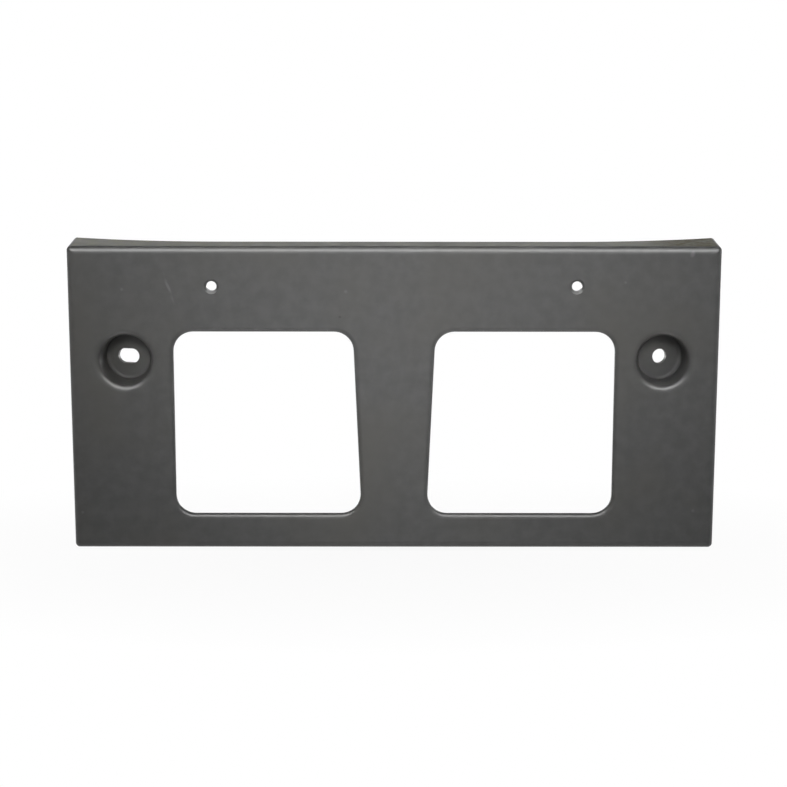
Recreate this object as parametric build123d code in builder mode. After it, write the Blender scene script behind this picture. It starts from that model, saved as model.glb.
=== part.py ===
"""Front number plate holder for a car: one moulded plastic piece.

Millimetres. The origin is the middle of the flat front face that the plate lies on.
X runs to the right as seen from the front, Y runs back to the bumper, Z is up.
"""

import os
from math import asin, cos, degrees, radians, sin, tan

from build123d import *

# Front face
face_width = 318.0
face_height = 151.0
face_corner_r = 2.2
face_wall = 3.0
front_edge_r = 4.0

# Skirt round the face, and the bumper line that its rear edge follows
skirt_wall = 2.6
skirt_inner_corner_r = 1.5
skirt_draft = 1.8
seat_depth = 17.1
seat_flat = 173.0
seat_curve_r = 206.0

# Bands of face round the two windows, and the bridge between them, wider at the top
top_band = 41.9
bottom_band = 17.5
side_band = 50.9
bridge_top = 40.6
bridge_bottom = 32.4
window_corner_r = 9.7
window_land = 0.2

# Holes for the plate screws, in pads behind the face
plate_hole_spacing = 177.8
plate_hole_from_top = 19.3
plate_hole_d = 5.0
plate_hole_chamfer = 1.2
plate_pad_d = 10.5
plate_pad_height = 1.0

# Cups for the bumper screws, with floors that lie parallel to the bumper there
cup_from_window = 23.6
cup_from_top = 56.1
cup_mouth_d = 24.4
cup_lip = 4.7
cup_depth = 14.8
cup_draft = 2.5
cup_wall = 2.8
cup_floor_wall = 2.5
cup_floor_r = 2.0

# Bumper screw holes: a slot in the left cup and a round hole in the right one
screw_hole_d = 7.3
slot_length = 11.0

# Collars round those holes, which stand on the bumper
collar_gap = 2.9
collar_wall = 1.8

# Stiffening ribs behind the face
rib_wall = 2.0
rib_window_gap = 4.0
rib_relief = 3.0

# Places that follow from the sizes above
face_top = face_height / 2
face_side = face_width / 2
window_top = face_top - top_band
window_bottom = bottom_band - face_top
window_side = face_side - side_band
window_middle_x = (window_side + (bridge_top + bridge_bottom) / 4) / 2
cup_x = window_side + cup_from_window
cup_z = face_top - cup_from_top
cup_mouth_r = cup_mouth_d / 2
plate_hole_x = plate_hole_spacing / 2
plate_hole_z = face_top - plate_hole_from_top
plate_hole_places = [(-plate_hole_x, plate_hole_z), (plate_hole_x, plate_hole_z)]
rib_end_x = face_side - skirt_wall / 2
rib_end_z = face_top - skirt_wall / 2
rib_ring_gap = rib_window_gap + rib_wall / 2

# The bumper line is drawn one seat depth past the holder's ends, and blanks reach back to it there
curve_run = face_side + seat_depth - seat_flat / 2
curve_turn = asin(curve_run / seat_curve_r)
skirt_reach = seat_depth + seat_curve_r * (1 - cos(curve_turn))
skirt_flare = skirt_reach * tan(radians(skirt_draft))
cup_tilt = asin(max(cup_x - seat_flat / 2, 0) / seat_curve_r)
cup_narrowing = tan(radians(cup_draft))

face_plane = Plane.XZ
rear_of_face = Plane.XZ.offset(-face_wall)
middle_of_face = Plane.XZ.offset(-face_wall / 2)
side_view = Plane.YZ.offset(-face_width)
plan_view = Plane((0, 0, -face_height), x_dir=(0, 1, 0), z_dir=(0, 0, 1))


def cup_floor_plane(side):
    """Plane of a cup's floor: local x along the bumper, local z out to the front."""
    return Plane(
        origin=(side * cup_x, cup_depth, cup_z),
        x_dir=(cos(cup_tilt), side * sin(cup_tilt), 0),
        z_dir=(side * sin(cup_tilt), -cos(cup_tilt), 0),
    )


def screw_hole_shape(side, margin):
    """Outline of a bumper screw hole, grown by a margin: a slot on the left, round on the right."""
    if side < 0:
        SlotOverall(slot_length + 2 * margin, screw_hole_d + 2 * margin)
    else:
        Circle(screw_hole_d / 2 + margin)


def space_behind_bumper_line(clearance):
    """Plan view of everything behind the bumper line, moved forward by a clearance."""
    end_x = seat_flat / 2 + curve_run
    curve_y = seat_depth + seat_curve_r
    turn = degrees(curve_turn)
    with BuildSketch(Plane((0, -clearance, -face_height))) as space:
        with BuildLine():
            Line((-seat_flat / 2, seat_depth), (seat_flat / 2, seat_depth))
            right = CenterArc((seat_flat / 2, curve_y), seat_curve_r, -90, turn)
            left = CenterArc((-seat_flat / 2, curve_y), seat_curve_r, -90, -turn)
            Polyline(right @ 1, (end_x, curve_y), (-end_x, curve_y), left @ 1)
        make_face()
    return space.sketch


def flared_view(plane, half_size):
    """Outline of the holder from the side or from above, growing towards the rear."""
    rear_half = half_size + skirt_flare
    with BuildSketch(plane) as view:
        with BuildLine():
            Polyline(
                (0, -half_size),
                (skirt_reach, -rear_half),
                (skirt_reach, rear_half),
                (0, half_size),
                close=True,
            )
        make_face()
    return view.sketch


# Outline of the right window, with an upright outer side and a slanted inner side
with BuildSketch(face_plane) as right_window:
    with BuildLine():
        Polyline(
            (bridge_top / 2, window_top),
            (window_side, window_top),
            (window_side, window_bottom),
            (bridge_bottom / 2, window_bottom),
            close=True,
        )
    make_face()
    fillet(right_window.vertices(), window_corner_r)

# Outside of the right cup: a tapered pot cut off parallel to the bumper
with BuildPart() as cup_outside:
    with BuildSketch(middle_of_face):
        with Locations((cup_x, cup_z)):
            Circle(cup_mouth_r + cup_wall)
    extrude(amount=-skirt_reach, taper=cup_draft)
    split(bisect_by=cup_floor_plane(1).offset(-cup_floor_wall), keep=Keep.TOP)

# Space inside the right cup, from its rolled lip down to its tilted floor
with BuildPart() as cup_space:
    with BuildSketch(Plane((cup_x, 0, cup_z))):
        with BuildLine():
            lip_handle = 0.55 * cup_lip
            lip_foot = (cup_mouth_r - cup_lip * cup_narrowing, cup_lip)
            lip_pull = (cup_mouth_r + cup_lip - lip_handle, 0)
            foot_pull = (lip_foot[0] + lip_handle * cup_narrowing, cup_lip - lip_handle)
            Bezier((cup_mouth_r + cup_lip, 0), lip_pull, foot_pull, lip_foot)
            deep_r = cup_mouth_r - skirt_reach * cup_narrowing
            Polyline(lip_foot, (deep_r, skirt_reach), (0, skirt_reach), (0, -cup_lip))
            Polyline((0, -cup_lip), (cup_mouth_r + cup_lip, -cup_lip), (cup_mouth_r + cup_lip, 0))
        make_face()
    revolve(axis=Axis((cup_x, 0, cup_z), (0, 1, 0)))
    split(bisect_by=cup_floor_plane(1), keep=Keep.TOP)
    fillet(cup_space.faces().sort_by(Axis.Y)[-1].edges(), cup_floor_r)

# Ribs: a ring round each window, and straight ribs to the skirt, all short of the bumper
with BuildPart() as ribs:
    with BuildSketch(rear_of_face):
        offset(right_window.sketch_local, rib_window_gap + rib_wall)
        offset(right_window.sketch_local, rib_window_gap, mode=Mode.SUBTRACT)
        with BuildLine():
            Line((0, -rib_end_z), (0, rib_end_z))
            Line((cup_x, -rib_end_z), (cup_x, rib_end_z))
            Line((window_side + rib_ring_gap, cup_z), (rib_end_x, cup_z))
            Line((window_middle_x, window_top + rib_ring_gap), (window_middle_x, rib_end_z))
            Line((window_middle_x, window_bottom - rib_ring_gap), (window_middle_x, -rib_end_z))
        trace(line_width=rib_wall)
        with Locations((cup_x, cup_z)):
            Circle(cup_mouth_r, mode=Mode.SUBTRACT)
        mirror(about=Plane.YZ)
    extrude(amount=-skirt_reach)
    extrude(space_behind_bumper_line(rib_relief), amount=2 * face_height, mode=Mode.SUBTRACT)

# The whole moulding
with BuildPart() as plate_holder:
    # Block that flares to the rear, with rounded front edges mitred at tight upright corners
    extrude(flared_view(side_view, face_top), amount=2 * face_width)
    extrude(flared_view(plan_view, face_side), amount=2 * face_height, mode=Mode.INTERSECT)
    fillet(plate_holder.faces().sort_by(Axis.Y)[0].edges(), front_edge_r)
    fillet(plate_holder.edges().group_by(Axis.Y)[-2], face_corner_r)

    # Hollow from behind, with walls that flare as the outside does
    hollow_inset = skirt_wall - face_wall * tan(radians(skirt_draft))
    with BuildSketch(rear_of_face):
        RectangleRounded(
            face_width - 2 * hollow_inset,
            face_height - 2 * hollow_inset,
            skirt_inner_corner_r,
        )
    extrude(amount=-skirt_reach, taper=-skirt_draft, mode=Mode.SUBTRACT)

    # Ribs, cups and plate screw pads on the rear of the face
    add(ribs.part)
    add(cup_outside.part)
    mirror(cup_outside.part, about=Plane.YZ)
    with BuildSketch(middle_of_face):
        with Locations(*plate_hole_places):
            Circle(plate_pad_d / 2)
    extrude(amount=-face_wall / 2 - plate_pad_height)

    # Collars behind the cup floors, then everything trimmed to the bumper line
    for side in (-1, 1):
        with BuildSketch(cup_floor_plane(side).offset(-cup_floor_wall / 2)):
            screw_hole_shape(side, collar_gap + collar_wall)
        extrude(amount=-skirt_reach)
        with BuildSketch(cup_floor_plane(side).offset(-cup_floor_wall)):
            screw_hole_shape(side, collar_gap)
        extrude(amount=-skirt_reach, mode=Mode.SUBTRACT)
    extrude(space_behind_bumper_line(0), amount=2 * face_height, mode=Mode.SUBTRACT)

    # Windows, their front edges rounded down to a narrow land
    extrude(right_window.sketch, amount=-face_wall, mode=Mode.SUBTRACT)
    extrude(right_window.sketch.mirror(Plane.YZ), amount=-face_wall, mode=Mode.SUBTRACT)
    front = plate_holder.faces().filter_by(Axis.Y).sort_by(Axis.Y)[0]
    fillet(front.inner_wires().edges(), face_wall - window_land)

    # Insides of the cups, and the bumper screw holes square to their floors
    add(cup_space.part, mode=Mode.SUBTRACT)
    mirror(cup_space.part, about=Plane.YZ, mode=Mode.SUBTRACT)
    for side in (-1, 1):
        with BuildSketch(cup_floor_plane(side)):
            screw_hole_shape(side, 0)
        extrude(amount=-skirt_reach, mode=Mode.SUBTRACT)

    # Plate screw holes with chamfered mouths
    with Locations(face_plane):
        with Locations(*plate_hole_places):
            CounterSinkHole(plate_hole_d / 2, plate_hole_d / 2 + plate_hole_chamfer, counter_sink_angle=90)

plate_holder.part.label = "plate_holder"

os.makedirs("parts", exist_ok=True)
export_step(plate_holder.part, "parts/plate_holder.step")
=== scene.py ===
from math import copysign, cos, hypot, radians, sin

import bmesh
import bpy
from mathutils import Matrix, Vector


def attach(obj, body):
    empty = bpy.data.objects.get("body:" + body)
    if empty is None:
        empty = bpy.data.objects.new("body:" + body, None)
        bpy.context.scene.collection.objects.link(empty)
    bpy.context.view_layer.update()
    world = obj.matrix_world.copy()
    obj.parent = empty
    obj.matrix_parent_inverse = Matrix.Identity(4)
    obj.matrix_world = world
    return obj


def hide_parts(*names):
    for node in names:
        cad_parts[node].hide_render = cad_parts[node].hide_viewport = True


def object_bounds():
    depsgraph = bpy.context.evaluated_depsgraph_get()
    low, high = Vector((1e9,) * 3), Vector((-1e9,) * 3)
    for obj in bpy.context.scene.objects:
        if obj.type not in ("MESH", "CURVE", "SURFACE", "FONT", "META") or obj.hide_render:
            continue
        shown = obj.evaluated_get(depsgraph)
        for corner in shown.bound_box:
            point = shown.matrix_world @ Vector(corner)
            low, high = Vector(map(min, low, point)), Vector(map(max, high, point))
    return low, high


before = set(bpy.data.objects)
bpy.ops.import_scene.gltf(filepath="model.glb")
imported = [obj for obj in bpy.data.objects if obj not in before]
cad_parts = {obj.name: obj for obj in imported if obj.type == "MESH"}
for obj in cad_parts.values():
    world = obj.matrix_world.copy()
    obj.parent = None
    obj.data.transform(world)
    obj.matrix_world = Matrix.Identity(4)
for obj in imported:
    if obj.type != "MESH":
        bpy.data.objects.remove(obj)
cad_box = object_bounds()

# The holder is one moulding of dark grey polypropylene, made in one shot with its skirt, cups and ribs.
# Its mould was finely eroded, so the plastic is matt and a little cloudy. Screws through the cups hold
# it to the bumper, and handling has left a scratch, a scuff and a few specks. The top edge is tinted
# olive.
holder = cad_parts["plate_holder"]
plastic = bpy.data.materials.new("dark_grey_plastic")
plastic.use_nodes = True
nodes = plastic.node_tree.nodes
links = plastic.node_tree.links
shader = nodes["Principled BSDF"]
shader.inputs["Specular IOR Level"].default_value = 0.25
place = nodes.new("ShaderNodeTexCoord")


def cloudy_noise(size, detail):
    """Noise on the holder itself, with blotches of about the given size in metres."""
    noise = nodes.new("ShaderNodeTexNoise")
    noise.inputs["Scale"].default_value = 1 / size
    noise.inputs["Detail"].default_value = detail
    links.new(place.outputs["Object"], noise.inputs["Vector"])
    return noise.outputs["Fac"]


def carried(value, start, end, first, last):
    """Value carried over from one range to another, and held at the ends of it."""
    span = nodes.new("ShaderNodeMapRange")
    span.inputs["From Min"].default_value = start
    span.inputs["From Max"].default_value = end
    span.inputs["To Min"].default_value = first
    span.inputs["To Max"].default_value = last
    links.new(value, span.inputs["Value"])
    return span.outputs["Result"]


def worked(operation, first, second):
    """Sum, product or other result of two values."""
    sums = nodes.new("ShaderNodeMath")
    sums.operation = operation
    links.new(first, sums.inputs[0])
    links.new(second, sums.inputs[1])
    return sums.outputs["Value"]


def laid_over(under, mask, colour):
    """Colour laid over what is under it, as far as a mask shows it."""
    coat = nodes.new("ShaderNodeMix")
    coat.data_type = "RGBA"
    links.new(mask, coat.inputs[0])
    links.new(under, coat.inputs[6])
    coat.inputs[7].default_value = (*colour, 1)
    return coat.outputs[2]


def patch(middle, half_size, turn=0):
    """Mask over an ellipsoid on the holder, from 1 in its middle to 0 at its edge."""
    spot = nodes.new("ShaderNodeMapping")
    spot.vector_type = "TEXTURE"
    spot.inputs["Location"].default_value = middle
    spot.inputs["Rotation"].default_value = (0, radians(turn), 0)
    spot.inputs["Scale"].default_value = half_size
    links.new(place.outputs["Object"], spot.inputs["Vector"])
    ball = nodes.new("ShaderNodeTexGradient")
    ball.gradient_type = "SPHERICAL"
    links.new(spot.outputs["Vector"], ball.inputs["Vector"])
    return ball.outputs["Fac"]


# Cloudy colour of the plastic, with broad faintly brown areas
plastic_dark = (0.0545, 0.0545, 0.0540)
plastic_light = (0.0675, 0.0675, 0.0665)
plastic_brown = (0.0625, 0.0610, 0.0565)
cloud = nodes.new("ShaderNodeValToRGB")
cloud.color_ramp.elements[0].position = 0.35
cloud.color_ramp.elements[0].color = (*plastic_dark, 1)
cloud.color_ramp.elements[1].position = 0.65
cloud.color_ramp.elements[1].color = (*plastic_light, 1)
links.new(cloudy_noise(0.006, 4), cloud.inputs["Fac"])
brown_areas = carried(cloudy_noise(0.06, 2), 0.45, 0.70, 0, 0.8)
colour = laid_over(cloud.outputs["Color"], brown_areas, plastic_brown)
roughness = carried(cloudy_noise(0.009, 3), 0.3, 0.7, 0.37, 0.43)

# Lighter olive colour on the flat tops of the top edge and the ribs, in patches and stronger towards the
# ends, and brown dirt at the right end of the top edge
olive_colour = (0.088, 0.086, 0.040)
dirt_brown = (0.085, 0.074, 0.036)
way_up = nodes.new("ShaderNodeSeparateXYZ")
links.new(place.outputs["Normal"], way_up.inputs["Vector"])
lies_flat = carried(way_up.outputs["Z"], 0.994, 0.9993, 0, 1)
olive_patches = carried(cloudy_noise(0.005, 4), 0.35, 0.65, 0.35, 1)
olive_ends = carried(patch((0, 0.01, 0.077), (0.18, 0.10, 0.10)), 0.2, 0.9, 1, 0.55)
olive_tint = worked("MULTIPLY", worked("MULTIPLY", lies_flat, olive_patches), olive_ends)
colour = laid_over(colour, olive_tint, olive_colour)
dirt_area = carried(patch((0.155, 0.012, 0.077), (0.032, 0.05, 0.008)), 0, 0.5, 0, 1)
dirt_flakes = carried(cloudy_noise(0.003, 4), 0.35, 0.60, 0.2, 1)
dirt = worked("MULTIPLY", worked("MULTIPLY", dirt_area, dirt_flakes), lies_flat)
colour = laid_over(colour, dirt, dirt_brown)
roughness = worked("ADD", roughness, carried(dirt, 0, 1, 0, 0.25))

# Scratch on the upper left of the face, broken along its length
scratch_pale = (0.098, 0.098, 0.097)
scratch_line = carried(patch((-0.1095, 0, 0.0553), (0.0009, 0.004, 0.0115), -17.4), 0.05, 0.7, 0, 0.6)
scratch_breaks = carried(cloudy_noise(0.004, 2), 0.42, 0.60, 0, 1)
scratch_deep = carried(patch((-0.1098, 0, 0.0561), (0.0009, 0.004, 0.0045), -24.8), 0.05, 0.6, 0, 1)
scratch = worked("MAXIMUM", worked("MULTIPLY", scratch_line, scratch_breaks), scratch_deep)
colour = laid_over(colour, scratch, scratch_pale)

# Scuff by the upper right corner, a dark spot, and pale specks
scuff_pale = (0.11, 0.11, 0.11)
scuff = carried(patch((0.1445, 0, 0.0722), (0.0016, 0.004, 0.0022), 25), 0.1, 0.7, 0, 1)
colour = laid_over(colour, scuff, scuff_pale)
spot_dark = (0.035, 0.035, 0.034)
dark_spot = carried(patch((-0.0265, 0, 0.0413), (0.0010, 0.004, 0.0009)), 0.1, 0.7, 0, 1)
colour = laid_over(colour, dark_spot, spot_dark)
speck_pale = (0.095, 0.095, 0.094)
for speck_x, speck_z, speck_size in (
    (-0.1324, 0.0548, 0.0012),
    (-0.0236, 0.0538, 0.0013),
    (0.1123, 0.0583, 0.0010),
    (-0.1546, -0.0570, 0.0011),
    (0.1485, -0.0560, 0.0012),
):
    speck = carried(patch((speck_x, 0, speck_z), (speck_size, 0.004, speck_size)), 0.1, 0.8, 0, 0.8)
    colour = laid_over(colour, speck, speck_pale)
links.new(colour, shader.inputs["Base Color"])
links.new(roughness, shader.inputs["Roughness"])

# Eroded grain, with the scratch cut into it
grain_size = 0.0006
grain_height = 0.00002
scratch_depth = 0.00006
grain = nodes.new("ShaderNodeBump")
grain.inputs["Strength"].default_value = 0.5
grain.inputs["Distance"].default_value = grain_height
links.new(cloudy_noise(grain_size, 2), grain.inputs["Height"])
groove = nodes.new("ShaderNodeBump")
groove.invert = True
groove.inputs["Strength"].default_value = 0.4
groove.inputs["Distance"].default_value = scratch_depth
links.new(scratch, groove.inputs["Height"])
links.new(grain.outputs["Normal"], groove.inputs["Normal"])
links.new(groove.outputs["Normal"], shader.inputs["Normal"])
holder.material_slots[0].material = plastic

# The moulding itself is a copy of the CAD mesh. Its front edge has a crease there, so it is taken off and
# drawn again as one clean round, from the walls of the skirt to the flat of the face.
hair = 1e-6
wide_hair = 1e-5
edge_steps = 12
edge_turn = radians(88.2)
edge_depth = 0.0039
rear_of_face = 0.003
hollow_side = 0.1566
hollow_top = 0.0731
hollow_corner = (0.15605, 0.0030, 0.07255)
moulding = bmesh.new()
moulding.from_mesh(holder.data)
bmesh.ops.remove_doubles(moulding, verts=moulding.verts, dist=hair)
flat_side = max(vert.co.x for vert in moulding.verts if vert.co.y < hair)
flat_top = max(vert.co.z for vert in moulding.verts if vert.co.y < hair)


def beside_flat(vert):
    """Whether a point lies on the front edge, between the flat of the face and the skirt."""
    outside = abs(vert.co.x) > flat_side - wide_hair or abs(vert.co.z) > flat_top - wide_hair
    return outside and vert.co.y < edge_depth


def behind_face(vert):
    """Whether a point lies on the rear of the face, inside the skirt."""
    inside = abs(vert.co.x) < hollow_side and abs(vert.co.z) < hollow_top
    return inside and abs(vert.co.y - rear_of_face) < hair


creased = [
    face
    for face in moulding.faces
    if all(beside_flat(vert) for vert in face.verts)
    and not any(behind_face(vert) for vert in face.verts)
    and any(vert.co.y > hair for vert in face.verts)
]
bmesh.ops.delete(moulding, geom=creased, context="FACES")
rim = [
    edge
    for edge in moulding.edges
    if edge.is_boundary and all(vert.co.y > edge_depth / 2 for vert in edge.verts)
]
rim_points = {vert for edge in rim for vert in edge.verts}
for vert in moulding.verts:
    if beside_flat(vert) and vert.co.y > rear_of_face + hair and vert not in rim_points:
        vert.co = [copysign(size, side) for size, side in zip(hollow_corner, vert.co)]
roots = {vert: vert.co.copy() for vert in rim_points}
for step in range(1, edge_steps + 1):
    turn = edge_turn * (1 - step / edge_steps)
    reach = sin(turn) / sin(edge_turn)
    depth = (1 - cos(turn)) / (1 - cos(edge_turn))
    drawn = bmesh.ops.extrude_edge_only(moulding, edges=rim)["geom"]
    drawn_roots = {}
    for vert in [part for part in drawn if isinstance(part, bmesh.types.BMVert)]:
        ends = [edge.other_vert(vert) for edge in vert.link_edges]
        root = next(roots[end] for end in ends if end in roots)
        flat_x = max(-flat_side, min(flat_side, root.x))
        flat_z = max(-flat_top, min(flat_top, root.z))
        vert.co = (flat_x + (root.x - flat_x) * reach, root.y * depth, flat_z + (root.z - flat_z) * reach)
        drawn_roots[vert] = root
    rim = [
        part
        for part in drawn
        if isinstance(part, bmesh.types.BMEdge) and all(vert in drawn_roots for vert in part.verts)
    ]
    roots = drawn_roots

# Lips of the cups, turned tighter than in the source, so that the cups open wider
cup_side = 0.1317
cup_height = 0.0194
lip_inner = 0.011995
lip_outer = 0.0169
lip_depth = 0.0047
tight_inner = 0.0126
tight_outer = 0.0166
tight_depth = 0.0031
pot_radius = 0.0131
for vert in moulding.verts:
    across = vert.co.x - (cup_side if vert.co.x > 0 else -cup_side)
    above = vert.co.z - cup_height
    radius = hypot(across, above)
    in_ring = lip_inner - wide_hair < radius < lip_outer + wide_hair
    in_lip = in_ring and vert.co.y < lip_depth + wide_hair
    on_pot = vert.co.y > rear_of_face - wide_hair and radius > pot_radius
    if in_lip and not on_pot:
        share = (radius - lip_inner) / (lip_outer - lip_inner)
        moved = (tight_inner + share * (tight_outer - tight_inner)) / radius - 1
        vert.co.x += across * moved
        vert.co.y *= tight_depth / lip_depth
        vert.co.z += above * moved
bmesh.ops.remove_doubles(moulding, verts=moulding.verts, dist=2 * hair)
bmesh.ops.recalc_face_normals(moulding, faces=moulding.faces)
for face in moulding.faces:
    face.smooth = True
moulded_data = bpy.data.meshes.new("moulded_holder")
moulding.to_mesh(moulded_data)
moulding.free()
cad_shading = moulded_data.attributes.get("custom_normal")
if cad_shading:
    moulded_data.attributes.remove(cad_shading)
moulded_data.set_sharp_from_angle(angle=radians(30))
moulded_data.materials.append(plastic)
moulded_holder = bpy.data.objects.new("moulded_holder", moulded_data)
bpy.context.collection.objects.link(moulded_holder)
evened = moulded_holder.modifiers.new("evened_shading", "WEIGHTED_NORMAL")
evened.mode = "FACE_AREA"
evened.weight = 100
evened.keep_sharp = True
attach(moulded_holder, "root")
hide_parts("plate_holder")

# The floor is a sheet of white paper that sweeps up behind, and the holder stands on its lower edge.
# The sheet shows white to the camera and in reflections, and keeps a faint shadow at the holder's foot.
floor_level = cad_box[0][2]
sheet_width = 6.0
sheet_front = -3.0
sheet_rear = 0.9
sweep_radius = 0.3
wall_height = 0.4
paper_sheet = bmesh.new()
front_left = paper_sheet.verts.new((-sheet_width / 2, sheet_front, floor_level))
front_right = paper_sheet.verts.new((sheet_width / 2, sheet_front, floor_level))
sheet_edge = paper_sheet.edges.new((front_left, front_right))


def draw_out(edge, way):
    """Pull an edge of the paper out along a way, and give the new edge."""
    grown = bmesh.ops.extrude_edge_only(paper_sheet, edges=[edge])["geom"]
    corners = [part for part in grown if isinstance(part, bmesh.types.BMVert)]
    bmesh.ops.translate(paper_sheet, verts=corners, vec=way)
    edges = [part for part in grown if isinstance(part, bmesh.types.BMEdge)]
    return next(edge for edge in edges if set(edge.verts) == set(corners))


rear_edge = draw_out(sheet_edge, (0, sheet_rear - sheet_front, 0))
swept = bmesh.ops.spin(
    paper_sheet,
    geom=[rear_edge, *rear_edge.verts],
    cent=(0, sheet_rear, floor_level + sweep_radius),
    axis=(1, 0, 0),
    angle=radians(90),
    steps=16,
)["geom_last"]
draw_out(next(part for part in swept if isinstance(part, bmesh.types.BMEdge)), (0, 0, wall_height))
bmesh.ops.recalc_face_normals(paper_sheet, faces=paper_sheet.faces)
for face in paper_sheet.faces:
    face.smooth = True
floor_data = bpy.data.meshes.new("paper_floor")
paper_sheet.to_mesh(floor_data)
paper_sheet.free()
floor = bpy.data.objects.new("paper_floor", floor_data)
bpy.context.collection.objects.link(floor)

paper = bpy.data.materials.new("white_paper")
paper.use_nodes = True
paper_nodes = paper.node_tree.nodes
paper_links = paper.node_tree.links
paper_nodes["Principled BSDF"].inputs["Base Color"].default_value = (0.8, 0.8, 0.8, 1)
paper_nodes["Principled BSDF"].inputs["Roughness"].default_value = 0.9
glow = paper_nodes.new("ShaderNodeEmission")


def seen_or_mirrored(tree):
    """1 where a surface is looked at, straight or in a reflection, and 0 where it gives light."""
    rays = tree.nodes.new("ShaderNodeLightPath")
    mirrored = tree.nodes.new("ShaderNodeMath")
    mirrored.operation = "MAXIMUM"
    tree.links.new(rays.outputs["Is Glossy Ray"], mirrored.inputs[0])
    tree.links.new(rays.outputs["Is Transmission Ray"], mirrored.inputs[1])
    seen = tree.nodes.new("ShaderNodeMath")
    seen.operation = "MAXIMUM"
    tree.links.new(rays.outputs["Is Camera Ray"], seen.inputs[0])
    tree.links.new(mirrored.outputs["Value"], seen.inputs[1])
    return seen.outputs["Value"]


# Round the holder's foot the sheet shows a little of its own shade, and further out plain white
shadow_reach = (0.30, 0.16, 0.1)
white_at_foot = 0.9
sheet_place = paper_nodes.new("ShaderNodeTexCoord")
foot = paper_nodes.new("ShaderNodeMapping")
foot.vector_type = "TEXTURE"
foot.inputs["Location"].default_value = (0, 0, floor_level)
foot.inputs["Scale"].default_value = shadow_reach
paper_links.new(sheet_place.outputs["Object"], foot.inputs["Vector"])
near_foot = paper_nodes.new("ShaderNodeTexGradient")
near_foot.gradient_type = "SPHERICAL"
paper_links.new(foot.outputs["Vector"], near_foot.inputs["Vector"])
plain_white = paper_nodes.new("ShaderNodeMapRange")
plain_white.inputs["To Min"].default_value = 1
plain_white.inputs["To Max"].default_value = white_at_foot
paper_links.new(near_foot.outputs["Fac"], plain_white.inputs["Value"])
white_share = paper_nodes.new("ShaderNodeMath")
white_share.operation = "MULTIPLY"
paper_links.new(seen_or_mirrored(paper.node_tree), white_share.inputs[0])
paper_links.new(plain_white.outputs["Result"], white_share.inputs[1])
paper_mix = paper_nodes.new("ShaderNodeMixShader")
paper_links.new(white_share.outputs[0], paper_mix.inputs["Fac"])
paper_links.new(paper_nodes["Principled BSDF"].outputs["BSDF"], paper_mix.inputs[1])
paper_links.new(glow.outputs["Emission"], paper_mix.inputs[2])
paper_links.new(paper_mix.outputs["Shader"], paper_nodes["Material Output"].inputs["Surface"])
floor_data.materials.append(paper)

# The room is dim. Three soft boxes light the front, with a strip above and a weak one for the middle.
# Long strips over it and at its foot draw the shine along the edges, and a low box lights the rear.
world = bpy.data.worlds.new("studio")
bpy.context.scene.world = world
world.use_nodes = True
room_light = 0.08
white_to = 0.20
dim_from = 0.24
room_nodes = world.node_tree.nodes
room_links = world.node_tree.links
room_nodes["Background"].inputs["Color"].default_value = (1, 1, 1, 1)
room_place = room_nodes.new("ShaderNodeTexCoord")
room_way = room_nodes.new("ShaderNodeSeparateXYZ")
room_links.new(room_place.outputs["Generated"], room_way.inputs["Vector"])
white_walls = room_nodes.new("ShaderNodeMapRange")
white_walls.inputs["From Min"].default_value = white_to
white_walls.inputs["From Max"].default_value = dim_from
white_walls.inputs["To Min"].default_value = 1
white_walls.inputs["To Max"].default_value = 0
room_links.new(room_way.outputs["Z"], white_walls.inputs["Value"])
walls_shown = room_nodes.new("ShaderNodeMath")
walls_shown.operation = "MULTIPLY"
room_links.new(seen_or_mirrored(world.node_tree), walls_shown.inputs[0])
room_links.new(white_walls.outputs["Result"], walls_shown.inputs[1])
room_strength = room_nodes.new("ShaderNodeMapRange")
room_strength.inputs["To Min"].default_value = room_light
room_strength.inputs["To Max"].default_value = 1
room_links.new(walls_shown.outputs["Value"], room_strength.inputs["Value"])
room_links.new(room_strength.outputs["Result"], room_nodes["Background"].inputs["Strength"])


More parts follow.
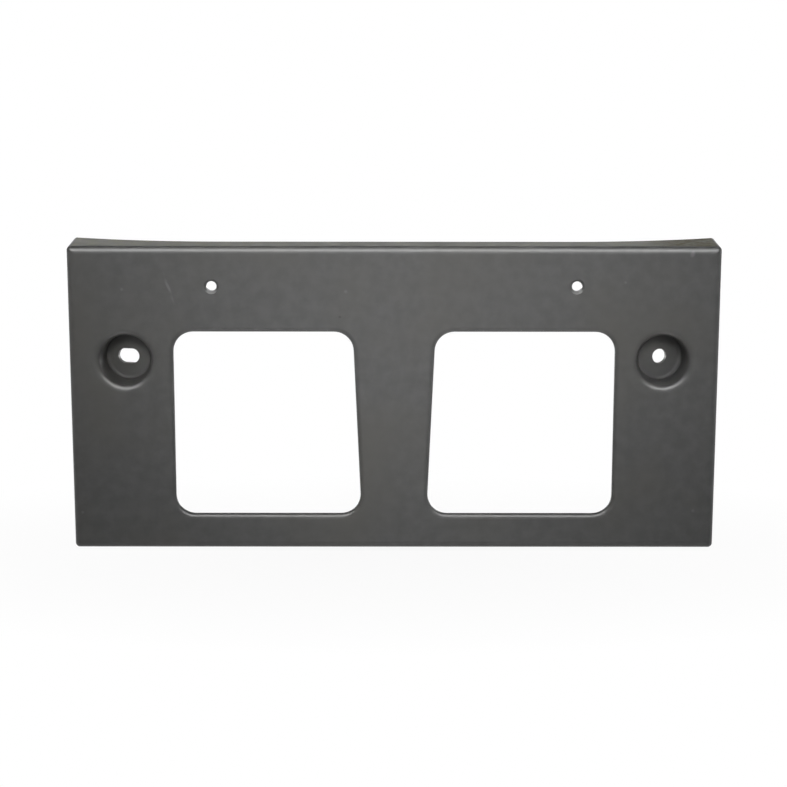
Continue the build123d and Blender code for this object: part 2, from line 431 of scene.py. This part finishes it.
def soft_box(name, position, aim, width, height, power, spread, shine=True, lit=True):
    """Rectangular soft box that looks from a position to the point it is aimed at."""
    lamp = bpy.data.lights.new(name, "AREA")
    lamp.shape = "RECTANGLE"
    lamp.size = width
    lamp.size_y = height
    lamp.energy = power
    lamp.spread = radians(spread)
    box = bpy.data.objects.new(name, lamp)
    box.location = position
    box.rotation_euler = (Vector(aim) - Vector(position)).to_track_quat("-Z", "Y").to_euler()
    box.visible_camera = False
    box.visible_glossy = shine
    box.visible_diffuse = lit
    bpy.context.collection.objects.link(box)


soft_box("front_left_box", (-0.10, -0.45, 0.28), (-0.095, 0, 0.07), 0.20, 0.20, 0.095, 36, shine=False)
soft_box("upper_left_box", (-0.06, -0.45, 0.30), (-0.065, 0, 0.088), 0.20, 0.20, 0.088, 30, shine=False)
soft_box("front_right_box", (0.10, -0.45, 0.28), (0.095, 0, 0.07), 0.20, 0.20, 0.187, 36, shine=False)
soft_box("low_front_box", (0, -0.55, 0.05), (0, 0, -0.045), 0.12, 0.10, 0.014, 24)
soft_box("top_strip", (0, -0.12, 0.50), (0, 0, 0.05), 1.2, 0.15, 0.62, 180)
soft_box("edge_strip", (0, -0.30, 0.60), (0, 0, 0.05), 1.4, 0.25, 25.5, 180, lit=False)
soft_box("floor_strip", (0, -0.018, -0.0745), (0, -0.018, 1), 0.34, 0.026, 0.025, 60, lit=False)
soft_box("rear_box", (0, 0.75, -0.02), (0, 0.02, 0), 0.9, 0.10, 4.0, 180)

# The camera stands a little above and in front of the holder, and looks slightly down at it.
image_width = 787
focal_pixels = 1968.4
look_down = 11.451
look_left = 0.079
tilt = 0.061
stand = (-0.00161, -0.94696, 0.19511)
camera_data = bpy.data.cameras.new("camera")
camera_data.sensor_width = 36
camera_data.lens = focal_pixels * camera_data.sensor_width / image_width
camera_data.clip_end = 50
camera = bpy.data.objects.new("camera", camera_data)
level = Matrix.Rotation(radians(90), 4, "X")
pitched = Matrix.Rotation(radians(-look_down), 4, "X") @ level
turned = Matrix.Rotation(radians(-look_left), 4, "Z") @ pitched
tilted = turned @ Matrix.Rotation(radians(tilt), 4, "Z")
camera.matrix_world = Matrix.Translation(stand) @ tilted
bpy.context.collection.objects.link(camera)
bpy.context.scene.camera = camera
bpy.context.scene.view_settings.view_transform = "Standard"
